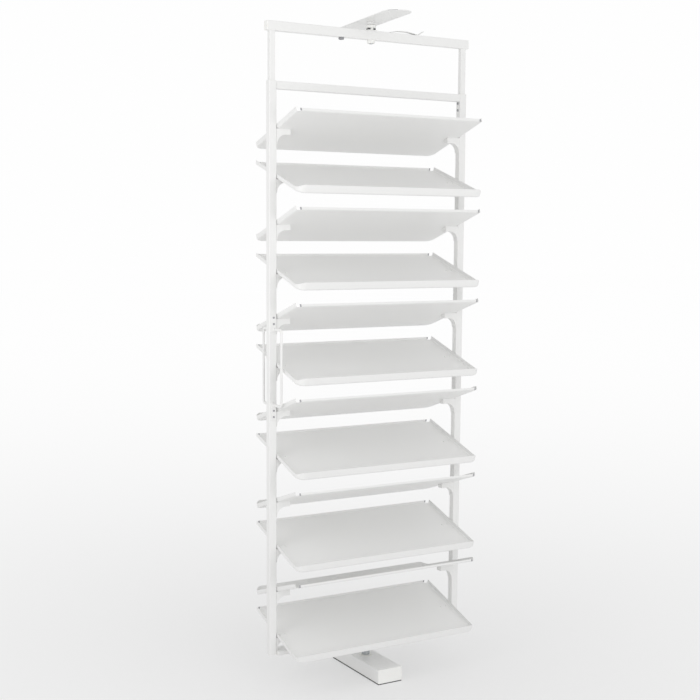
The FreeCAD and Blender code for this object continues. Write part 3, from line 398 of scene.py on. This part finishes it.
def make_black_oxide():
    """Alloy steel screws with black oxide, oiled: near black with worn, greyer patches."""
    grain = Relief(Blotches(size=0.6), depth=0.01, strength=0.4)
    make_finish(
        "black_oxide_screw", colour_of("screw"), {"Metallic": 0.85, "Roughness": 0.42},
        second_colour=opaque("#5E5E63"), clouds=Blotches(size=2.5, detail=3),
        roughness=(0.34, 0.52), sheen=Blotches(size=1.5), relief=[grain])


def make_zinc_flake():
    """Zinc flake coating on steel, dipped and baked: matt grey, faintly metallic."""
    flakes = Relief(Blotches(size=0.5), depth=0.008, strength=0.4)
    make_finish(
        "grey_zinc_flake", colour_of("grey"), {"Metallic": 0.4, "Roughness": 0.55},
        second_colour=opaque("#A6A6AA"), clouds=Blotches(size=2, detail=3),
        roughness=(0.48, 0.62), sheen=Blotches(size=1.5), relief=[flakes])


def make_moulded_nylon():
    """Glass-filled grey nylon, injection moulded: dull and slightly mottled."""
    grain = Relief(Blotches(size=0.6), depth=0.015, strength=0.5)
    make_finish(
        "grey_moulded_nylon", opaque("#9E9EA1"), {"Roughness": 0.55, "IOR": 1.53},
        second_colour=opaque("#8E8E91"), clouds=Blotches(size=4, detail=3),
        roughness=(0.48, 0.64), sheen=Blotches(size=2), relief=[grain])


def make_contact_shade_sheet():
    """Coated steel sheet under the base, painted flat grey-black as contact shade along the base's
    foot, with a coarse texture.
    """
    texture = Relief(Blotches(size=1.5), depth=0.05, strength=0.6)
    make_finish(
        "dark_sheet_painted_contact_shade", opaque("#3A3A3C"), {"Roughness": 0.7, "IOR": 1.5},
        second_colour=opaque("#2A2A2C"), clouds=Blotches(size=20, detail=3),
        roughness=(0.62, 0.8), sheen=Blotches(size=6), relief=[texture])


def make_glowing_floor():
    """Pale paper floor with a painted glow: it is lit grey near the rack and glows more with
    distance until it is white, and its glow lights the rack too.
    """
    material = bpy.data.materials.new("pale_floor_painted_glow")
    tree = empty_tree(material)
    place = add(tree, "TexCoord").outputs["Object"]
    away = add(tree, "VectorMath", links={0: place}, operation="LENGTH").outputs["Value"]
    # the share of lit paper dies away to about a third of itself at each further fade distance, and
    # the painted glow takes its place
    reach = add(tree, "Math", {1: -1 / FLOOR_FADE_DISTANCE}, {0: away}, operation="MULTIPLY")
    left = add(tree, "Math", links={0: reach.outputs["Value"]}, operation="EXPONENT")
    fade = add(tree, "Math", {1: -FLOOR_UNGLOWING_SHARE, 2: 1.0}, {0: left.outputs["Value"]},
               operation="MULTIPLY_ADD").outputs["Value"]
    # painted glow: the camera sees it as almost white, and the rack is lit by a dimmer glow from it
    seen = add(tree, "LightPath").outputs["Is Camera Ray"]
    strength = add(tree, "MapRange", {"To Min": FLOOR_LIGHT, "To Max": FLOOR_WHITE},
                   {"Value": seen}).outputs["Result"]
    paper = add(tree, "BsdfDiffuse", {"Color": colour_of("floor")}).outputs["BSDF"]
    glow = add(tree, "Emission", {"Color": (1, 1, 1, 1)}, {"Strength": strength})
    both = add(tree, "MixShader", links={0: fade, 1: paper, 2: glow.outputs["Emission"]})
    add(tree, "OutputMaterial", links={"Surface": both.outputs["Shader"]})
    return material


# Pieces

def coat_node(finish, *nodes):
    """Gives CAD parts their finish."""
    for node in nodes:
        for slot in frame["nodes"][node].material_slots:
            slot.material = FINISHES[finish]


def body_of(node):
    return frame["nodes"][node]["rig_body"]


def keep_piece(mesh, name, finish, body, *replaced):
    """Turns a bmesh into a piece that rides on a body and stands for CAD nodes."""
    data = bpy.data.meshes.new(name)
    mesh.to_mesh(data)
    mesh.free()
    data.materials.append(FINISHES[finish])
    data.shade_smooth()
    data.set_sharp_from_angle(angle=math.radians(SMOOTH_ANGLE))
    piece = bpy.data.objects.new(name, data)
    bpy.context.scene.collection.objects.link(piece)
    # wide flat faces stay flat, and only the rounded edges turn the light
    weighted = piece.modifiers.new("flat faces", "WEIGHTED_NORMAL")
    weighted.keep_sharp = True
    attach(piece, body)
    if replaced:
        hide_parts(*replaced)


def merged_copy(node):
    """Copies a CAD part's mesh, joins its loose triangles and clears needless edges."""
    mesh = bmesh.new()
    mesh.from_mesh(frame["nodes"][node].data)
    bmesh.ops.remove_doubles(mesh, verts=mesh.verts, dist=mm(MERGE_DISTANCE))
    bmesh.ops.dissolve_limit(mesh, angle_limit=math.radians(FLAT_ANGLE), verts=mesh.verts,
                             edges=mesh.edges)
    return mesh


def bevel(mesh, edges, width, segments):
    bmesh.ops.bevel(mesh, geom=edges, offset=width, offset_type="OFFSET", segments=segments,
                    profile=0.5, affect="EDGES", clamp_overlap=True, material=-1)


def near(value, *targets):
    return any(abs(value - target) < mm(SAME_PLACE) for target in targets)


def corner_edges(mesh, node, axis):
    """Finds the outer corner lines of a straight tube that runs along an axis."""
    low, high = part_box(node)
    sides = [side for side in range(3) if side != axis]
    found = []
    for edge in mesh.edges:
        first, second = (vert.co for vert in edge.verts)
        if all(near(first[side], second[side]) and near(first[side], low[side], high[side])
               for side in sides):
            found.append(edge)
    return found


def rim_edges(mesh, node, axis):
    """Finds the rims of the two outermost faces of a pair of caps."""
    low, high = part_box(node)
    return [edge for edge in mesh.edges
            if any(all(near(vert.co[axis], limit) for vert in edge.verts)
                   for limit in (low[axis], high[axis]))]


def bend_edges(mesh, start, end):
    """Finds the bend lines across the leaf strip between two places along it."""
    found = []
    for edge in mesh.edges:
        first, second = (vert.co for vert in edge.verts)
        is_across = abs(first.y - second.y) > mm(STRIP_LINE_LENGTH)
        if is_across and near(first.x, second.x) and mm(start) < first.x < mm(end):
            found.append(edge)
    return found


def sharp_edges(mesh, angle=SHARP_ANGLE):
    limit = math.radians(angle)
    return [edge for edge in mesh.edges if edge.is_manifold and edge.calc_face_angle(0) > limit]


def islands(mesh):
    """Gives the corners of each separate solid of a mesh."""
    left = set(mesh.verts)
    found = []
    for start in mesh.verts:
        if start not in left:
            continue
        left.remove(start)
        solid, queue = [start], [start]
        while queue:
            vert = queue.pop()
            for edge in vert.link_edges:
                other = edge.other_vert(vert)
                if other in left:
                    left.remove(other)
                    solid.append(other)
                    queue.append(other)
        found.append([vert.co.copy() for vert in solid])
    return found


def soften_node(node, finish, width=None):
    """Replaces a CAD part by the same shape with its cut edges rounded."""
    mesh = merged_copy(node)
    bevel(mesh, sharp_edges(mesh), width or sizes().edge_bevel, sizes().bevel_segments)
    keep_piece(mesh, node + "_finished", finish, body_of(node), node)


def round_tube(node, axis, radius=None):
    """Replaces a CAD tube by one with the rolled corners of a real welded tube."""
    mesh = merged_copy(node)
    bevel(mesh, corner_edges(mesh, node, axis), radius or sizes().tube_corner, CORNER_STEPS)
    keep_piece(mesh, node + "_finished", "white_powder_coat", body_of(node), node)


def round_caps(node, axis, radius=None):
    """Replaces moulded end caps by ones that follow the tube's corners, with a soft rim."""
    mesh = merged_copy(node)
    bevel(mesh, corner_edges(mesh, node, axis), radius or sizes().tube_corner, CORNER_STEPS)
    bevel(mesh, rim_edges(mesh, node, axis), sizes().cap_bevel, RIM_STEPS)
    keep_piece(mesh, node + "_finished", "white_moulded_abs", body_of(node), node)


def loop_of(verts):
    """Gives the edges of a closed loop of corners."""
    ring = set(verts)
    return list(dict.fromkeys(
        edge for vert in verts for edge in vert.link_edges if set(edge.verts) <= ring))


def pull(mesh, edges, distance, scale=1.0):
    """Extrudes a loop of edges along Z, scales it about Z and gives the new loop."""
    made = bmesh.ops.extrude_edge_only(mesh, edges=edges)["geom"]
    verts = [item for item in made if isinstance(item, bmesh.types.BMVert)]
    bmesh.ops.translate(mesh, vec=(0, 0, distance), verts=verts)
    bmesh.ops.scale(mesh, vec=(scale, scale, 1), verts=verts)
    return loop_of(verts)


def make_screw(head_radius, length, shape):
    """Makes a screw with a hexagon socket, its head's top at the origin and pointing up."""
    head_height = mm(shape.head_height)
    mesh = bmesh.new()
    rim = bmesh.ops.create_circle(mesh, segments=shape.sides, radius=head_radius)["verts"]
    outer = loop_of(rim)
    hexagon = bmesh.ops.create_circle(mesh, segments=shape.sides,
                                      radius=head_radius * SOCKET_WIDTH_SHARE)["verts"]
    socket = loop_of(hexagon)
    side_angle = math.pi / 3
    for vert in hexagon:
        turn = math.atan2(vert.co.y, vert.co.x) % side_angle - side_angle / 2
        vert.co *= math.cos(side_angle / 2) / math.cos(turn)
    bmesh.ops.bridge_loops(mesh, edges=outer + socket)
    floor = pull(mesh, socket, -head_height * SOCKET_DEPTH_SHARE)
    bmesh.ops.edgeloop_fill(mesh, edges=floor)
    bottom = pull(mesh, outer, -head_height)
    neck = pull(mesh, bottom, 0, mm(shape.shank_radius) / head_radius)
    end = pull(mesh, neck, head_height - length)
    bmesh.ops.edgeloop_fill(mesh, edges=end)
    rounding = min(head_radius * RIM_RADIUS_SHARE, head_height * RIM_HEIGHT_SHARE)
    bevel(mesh, outer, rounding, RIM_STEPS)
    bmesh.ops.recalc_face_normals(mesh, faces=mesh.faces)
    data = bpy.data.meshes.new("screw")
    mesh.to_mesh(data)
    mesh.free()
    return data


def fit_screws(node, finish, shape, way):
    """Replaces a group of CAD screws; way gives the direction that a head at a place faces."""
    source = merged_copy(node)
    solids = islands(source)
    source.free()
    mesh = bmesh.new()
    screw = None
    for points in solids:
        centre = sum(points, Vector()) / len(points)
        along = way(centre)
        reach = [(point - centre).dot(along) for point in points]
        if screw is None:
            radius = max((point - centre - along * far).length
                         for point, far in zip(points, reach))
            screw = make_screw(radius, max(reach) - min(reach), shape)
        first = len(mesh.verts)
        mesh.from_mesh(screw)
        mesh.verts.ensure_lookup_table()
        place = Matrix.Translation(centre + along * max(reach))
        turn = along.to_track_quat("Z", "Y").to_matrix().to_4x4()
        bmesh.ops.transform(mesh, matrix=place @ turn, verts=mesh.verts[first:])
    bpy.data.meshes.remove(screw)
    keep_piece(mesh, node + "_finished", finish, body_of(node), node)


def turned(profile, x, steps=48):
    """Spins an outline of radius and height, in millimetres, about an upright axis at x."""
    mesh = bmesh.new()
    verts = [mesh.verts.new((x + mm(radius), 0, mm(height))) for radius, height in profile]
    edges = [mesh.edges.new(pair) for pair in zip(verts, verts[1:])]
    bmesh.ops.spin(mesh, geom=verts + edges, cent=(x, 0, 0), axis=(0, 0, 1),
                   angle=math.tau, steps=steps, use_merge=True)
    bmesh.ops.remove_doubles(mesh, verts=mesh.verts, dist=mm(MERGE_DISTANCE))
    bmesh.ops.recalc_face_normals(mesh, faces=mesh.faces)
    return mesh


# Operators, one for each piece or group of like pieces

class RACK_OT_finishes(bpy.types.Operator):
    """Make the coats, plastics and metals of the rack"""
    bl_idname = "rack.finishes"
    bl_label = "Finishes"

    def execute(self, context):
        make_powder_coat()
        make_moulded_abs()
        make_turned_acetal()
        make_bearing_steel()
        make_zinc_plate()
        make_pressed_brass()
        make_black_oxide()
        make_zinc_flake()
        make_moulded_nylon()
        make_contact_shade_sheet()
        return {"FINISHED"}


class RACK_OT_base(bpy.types.Operator):
    """Finish the floor plate, the base bar and its end caps"""
    bl_idname = "rack.base"
    bl_label = "Base"

    def execute(self, context):
        # the floor plate's grey-black is painted shade for the dark contact line under the base
        coat_node("dark_sheet_painted_contact_shade", "floor_plate")
        round_tube("base_bar", Y, sizes().base_corner)
        round_caps("base_end_caps", Y, sizes().base_corner)
        return {"FINISHED"}


class RACK_OT_bearing(bpy.types.Operator):
    """Finish the bearing, the guide bush and the spindle"""
    bl_idname = "rack.bearing"
    bl_label = "Bearing"

    def execute(self, context):
        coat_node("ground_bearing_steel", "lower_race", "upper_race", "bearing_balls")
        coat_node("zinc_plated_steel", "bearing_housing", "spindle")
        coat_node("pressed_brass", "ball_cage")
        coat_node("turned_acetal", "guide_bush")
        return {"FINISHED"}


class RACK_OT_turning_frame(bpy.types.Operator):
    """Finish the posts, the crossbars and the sleeves, and make the crossbar's plugs"""
    bl_idname = "rack.turning_frame"
    bl_label = "Turning frame"

    def execute(self, context):
        for node in ("left_lower_post", "right_lower_post"):
            round_tube(node, Z)
        for node in ("bottom_crossbar", "middle_crossbar"):
            round_tube(node, X)
        soften_node("post_foot_plugs", "white_moulded_abs")
        soften_node("telescope_sleeves", "white_moulded_abs")
        self.make_crossbar_plugs()
        return {"FINISHED"}

    def make_crossbar_plugs(self):
        """Makes the plugs that close the two open ends of the flat bottom crossbar."""
        tube_wall, thickness, inset, rounding = mm(1.5), mm(2), mm(0.2), mm(0.6)
        low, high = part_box("bottom_crossbar")
        width = high.y - low.y - 2 * tube_wall
        height = high.z - low.z - 2 * tube_wall
        from_middle = high.x - inset - thickness / 2
        mesh = bmesh.new()
        for side in (-1, 1):
            plug = bmesh.ops.create_cube(mesh, size=1)["verts"]
            bmesh.ops.scale(mesh, vec=(thickness, width, height), verts=plug)
            place = Vector((side * from_middle, 0, (low.z + high.z) / 2))
            bmesh.ops.translate(mesh, vec=place, verts=plug)
        bevel(mesh, mesh.edges[:], rounding, RIM_STEPS)
        keep_piece(mesh, "crossbar_plugs", "white_moulded_abs", "lower_frame")


class RACK_OT_handles(bpy.types.Operator):
    """Finish the two bow handles"""
    bl_idname = "rack.handles"
    bl_label = "Handles"

    def execute(self, context):
        for node in ("handle_front", "handle_rear"):
            soften_node(node, "white_powder_coat")
        return {"FINISHED"}


class RACK_OT_trays(bpy.types.Operator):
    """Finish the twelve trays and make the grey clips on their high lips, painted shade for the
    lips' dark open ends
    """
    bl_idname = "rack.trays"
    bl_label = "Trays"

    def execute(self, context):
        for number in TRAYS:
            soften_node(f"tray_{number}", "white_powder_coat")
        self.make_lip_end_shade_clips()
        return {"FINISHED"}

    def make_lip_end_shade_clips(self):
        """Makes small grey clips on the two ends of each tray's high lip: painted shade that stands
        for the dark open ends of the lips.
        """
        shade_clip_size = (mm(4.4), mm(2.2), mm(7.6))
        from_end, from_lip, below_top, rounding = mm(12.2), mm(0.687), mm(7.4), mm(0.4)
        mesh = bmesh.new()
        for number in TRAYS:
            node = f"tray_{number}"
            low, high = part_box(node)
            up = tray_face(middle(node))
            lip_side = -math.copysign(1, up.y)
            lip_reach = min(high.y, -low.y)
            turn = up.to_track_quat("Z", "Y").to_matrix().to_4x4()
            for side in (-1, 1):
                shade_clip = bmesh.ops.create_cube(mesh, size=1)["verts"]
                bmesh.ops.scale(mesh, vec=shade_clip_size, verts=shade_clip)
                place = Vector((side * (high.x - from_end), lip_side * (lip_reach - from_lip),
                                high.z - below_top))
                bmesh.ops.transform(mesh, matrix=Matrix.Translation(place) @ turn, verts=shade_clip)
        bevel(mesh, mesh.edges[:], rounding, sizes().bevel_segments)
        keep_piece(mesh, "tray_lip_end_shade_clips", "grey_zinc_flake", "lower_frame")


class RACK_OT_brackets(bpy.types.Operator):
    """Finish the brackets under the ends of the trays"""
    bl_idname = "rack.brackets"
    bl_label = "Brackets"

    def execute(self, context):
        for number in TRAYS:
            soften_node(f"tray_{number}_brackets", "white_powder_coat")
        return {"FINISHED"}


class RACK_OT_screws(bpy.types.Operator):
    """Make the screws of the trays, brackets, handles, posts, top bar and collar"""
    bl_idname = "rack.screws"
    bl_label = "Screws"

    def execute(self, context):
        fit_screws("tray_screws", "white_powder_coat", SMALL_SCREW, tray_face)
        fit_screws("bracket_screws", "white_powder_coat", SMALL_SCREW, inwards)
        fit_screws("height_set_screws", "grey_zinc_flake", SET_SCREW, inwards)
        fit_screws("handle_screws", "grey_zinc_flake", HANDLE_SCREW, to_front_or_back)
        fit_screws("top_bar_screws", "white_powder_coat", SMALL_SCREW, inwards)
        fit_screws("pivot_collar_screws", "black_oxide_screw", COLLAR_SCREW, upwards)
        return {"FINISHED"}


class RACK_OT_upper_frame(bpy.types.Operator):
    """Finish the sliding tubes, the top bar and its caps and plugs"""
    bl_idname = "rack.upper_frame"
    bl_label = "Upper frame"

    def execute(self, context):
        for node in ("left_upper_tube", "right_upper_tube"):
            round_tube(node, Z)
        round_tube("top_bar", X)
        round_caps("top_bar_end_caps", X)
        soften_node("top_bar_connectors", "white_moulded_abs")
        return {"FINISHED"}


class RACK_OT_pivot(bpy.types.Operator):
    """Finish the collar, the nub and the pin at the ceiling, and make the button beside them"""
    bl_idname = "rack.pivot"
    bl_label = "Pivot"

    def execute(self, context):
        soften_node("pivot_collar", "white_moulded_abs", sizes().turned_bevel)
        soften_node("pivot_nub", "white_moulded_abs", sizes().turned_bevel)
        soften_node("pivot_pin", "zinc_plated_steel")
        self.make_button()
        return {"FINISHED"}

    def make_button(self):
        """Makes the grey button under the top bar, left of the pivot."""
        from_pivot, height, rounding, edge_angle = 104, 6.8, 0.3, 30
        neck_radius, neck_height = 7.6, 1.5
        radius, flank_end, face_radius = 8.5, 5, 6.8
        dimple_radius, dimple_depth = 4, 0.6
        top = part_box("top_bar")[0].z * 1000
        bottom = top - height
        outline = [
            (0, top), (neck_radius, top), (neck_radius, top - neck_height),
            (radius, top - neck_height), (radius, top - flank_end), (face_radius, bottom),
            (dimple_radius, bottom), (dimple_radius, bottom + dimple_depth),
            (0, bottom + dimple_depth),
        ]
        mesh = turned(outline, mm(-from_pivot))
        bevel(mesh, sharp_edges(mesh, edge_angle), mm(rounding), sizes().bevel_segments)
        keep_piece(mesh, "top_bar_button", "grey_moulded_nylon", "upper_frame")


class RACK_OT_leaf_spring(bpy.types.Operator):
    """Make the leaf strip that pulls the pivot pin, and its rivet"""
    bl_idname = "rack.leaf_spring"
    bl_label = "Leaf spring"

    def execute(self, context):
        mesh = merged_copy("pivot_spring")
        for bend in STRIP_BENDS:
            bevel(mesh, bend_edges(mesh, bend.start, bend.end), mm(bend.rounding), bend.steps)
        keep_piece(mesh, "pivot_spring_finished", "white_powder_coat", body_of("pivot_spring"),
                   "pivot_spring")
        soften_node("spring_rivet", "zinc_plated_steel", mm(0.3))
        return {"FINISHED"}


class RACK_OT_ceiling_plate(bpy.types.Operator):
    """Finish the plate on the ceiling and the socket under it, and make the grey band of painted
    shade on its rim
    """
    bl_idname = "rack.ceiling_plate"
    bl_label = "Ceiling plate"

    def execute(self, context):
        soften_node("ceiling_plate", "white_powder_coat")
        soften_node("pivot_socket", "white_powder_coat", sizes().turned_bevel)
        self.make_rim_shade_band()
        return {"FINISHED"}

    def make_rim_shade_band(self):
        """Makes a thin grey band round the rim of the plate's rounded front end: painted shade that
        darkens that rim.
        """
        half_length, end_radius = mm(225), mm(43)
        plate_turn, first_angle, sweep = math.radians(-7.3), math.radians(208), math.radians(42)
        inside, outside = mm(-0.05), mm(0.2)
        inner_rise, outer_rise, steps = mm(0.5), mm(0.4), 14
        height = middle("ceiling_plate").z
        centre = Matrix.Rotation(plate_turn, 3, "Z") @ Vector((0, end_radius - half_length, 0))
        start = Matrix.Rotation(plate_turn + first_angle, 3, "Z")
        section = ((inside, -inner_rise), (outside, -outer_rise), (outside, outer_rise),
                   (inside, inner_rise))
        mesh = bmesh.new()
        corners = [centre + start @ Vector((end_radius + out, 0, height + up))
                   for out, up in section]
        face = mesh.faces.new([mesh.verts.new(corner) for corner in corners])
        bmesh.ops.spin(mesh, geom=[face, *face.edges, *face.verts], cent=centre,
                       axis=(0, 0, 1), angle=sweep, steps=steps)
        bmesh.ops.recalc_face_normals(mesh, faces=mesh.faces)
        keep_piece(mesh, "plate_rim_shade_band", "grey_moulded_nylon", "ceiling_plate")


class RACK_OT_stage(bpy.types.Operator):
    """Set up the pale floor, the soft lights and the camera"""
    bl_idname = "rack.stage"
    bl_label = "Stage"

    def execute(self, context):
        scene = context.scene
        scene.view_settings.view_transform = "Standard"
        self.make_floor(scene)
        self.make_world(scene)
        for lamp in LAMPS:
            self.make_lamp(scene, lamp)
        self.make_camera(scene)
        return {"FINISHED"}

    def make_floor(self, scene):
        """Makes the wide disc that the rack stands on."""
        mesh = bmesh.new()
        bmesh.ops.create_circle(mesh, cap_ends=True, segments=96, radius=sizes().floor_radius)
        data = bpy.data.meshes.new("studio_floor")
        mesh.to_mesh(data)
        mesh.free()
        data.materials.append(make_glowing_floor())
        floor = bpy.data.objects.new("studio_floor", data)
        scene.collection.objects.link(floor)

    def make_world(self, scene):
        """Makes the even light of a white room, which the camera sees as plain white."""
        world = bpy.data.worlds.new("white_room")
        tree = empty_tree(world)
        seen = add(tree, "LightPath").outputs["Is Camera Ray"]
        light = add(tree, "Background", {"Color": (1, 1, 1, 1), "Strength": ROOM_LIGHT})
        backdrop = add(tree, "Background", {"Color": (1, 1, 1, 1), "Strength": ROOM_WHITE})
        both = add(tree, "MixShader", links={0: seen, 1: light.outputs["Background"],
                                             2: backdrop.outputs["Background"]})
        add(tree, "OutputWorld", links={"Surface": both.outputs["Shader"]})
        scene.world = world

    def make_lamp(self, scene, lamp):
        light = bpy.data.lights.new(lamp.name, "AREA")
        light.shape = "RECTANGLE"
        light.size, light.size_y = lamp.size
        light.energy = lamp.power
        thing = bpy.data.objects.new(lamp.name, light)
        thing.visible_camera = False
        aim = (Vector(lamp.aim) - Vector(lamp.place)).to_track_quat("-Z", "Y")
        thing.matrix_world = Matrix.Translation(lamp.place) @ aim.to_matrix().to_4x4()
        scene.collection.objects.link(thing)

    def make_camera(self, scene):
        """Puts the camera where it sees the rack from the front and from its left side."""
        level_reach = math.cos(CAMERA_PITCH)
        ahead = Vector((math.sin(CAMERA_YAW) * level_reach, math.cos(CAMERA_YAW) * level_reach,
                        math.sin(CAMERA_PITCH)))
        level = Vector((math.cos(CAMERA_YAW), -math.sin(CAMERA_YAW), 0))
        top = level.cross(ahead)
        right = level * math.cos(CAMERA_ROLL) + top * math.sin(CAMERA_ROLL)
        up = top * math.cos(CAMERA_ROLL) - level * math.sin(CAMERA_ROLL)
        camera = bpy.data.cameras.new("camera")
        camera.sensor_width = 36
        camera.lens = sizes().lens
        camera.shift_x, camera.shift_y = CAMERA_SHIFT
        camera.clip_end = CAMERA_REACH
        thing = bpy.data.objects.new("camera", camera)
        turn = Matrix((right, up, -ahead)).transposed().to_4x4()
        thing.matrix_world = Matrix.Translation(CAMERA_PLACE) @ turn
        scene.collection.objects.link(thing)
        scene.camera = thing


PIECES = (
    RACK_OT_finishes, RACK_OT_base, RACK_OT_bearing, RACK_OT_turning_frame, RACK_OT_handles,
    RACK_OT_trays, RACK_OT_brackets, RACK_OT_screws, RACK_OT_upper_frame, RACK_OT_pivot,
    RACK_OT_leaf_spring, RACK_OT_ceiling_plate, RACK_OT_stage,
)


class RACK_PT_panel(bpy.types.Panel):
    """Lists the pieces of the rack with their sizes and colours"""
    bl_idname = "RACK_PT_panel"
    bl_label = "Shoe rack"
    bl_space_type = "VIEW_3D"
    bl_region_type = "UI"
    bl_category = "Shoe rack"

    def draw(self, context):
        for group in (context.scene.rack_sizes, context.scene.rack_colours):
            box = self.layout.box()
            for name in group.__annotations__:
                box.prop(group, name)
        for operator in PIECES:
            self.layout.operator(operator.bl_idname)


CLASSES = (RackSizes, RackColours, *PIECES, RACK_PT_panel)


def register():
    for item in CLASSES:
        bpy.utils.register_class(item)
    bpy.types.Scene.rack_sizes = PointerProperty(type=RackSizes)
    bpy.types.Scene.rack_colours = PointerProperty(type=RackColours)


def unregister():
    del bpy.types.Scene.rack_colours
    del bpy.types.Scene.rack_sizes
    for item in reversed(CLASSES):
        bpy.utils.unregister_class(item)


def main():
    register()
    for operator in PIECES:
        group, name = operator.bl_idname.split(".")
        getattr(getattr(bpy.ops, group), name)()


if __name__ == "__main__":
    main()
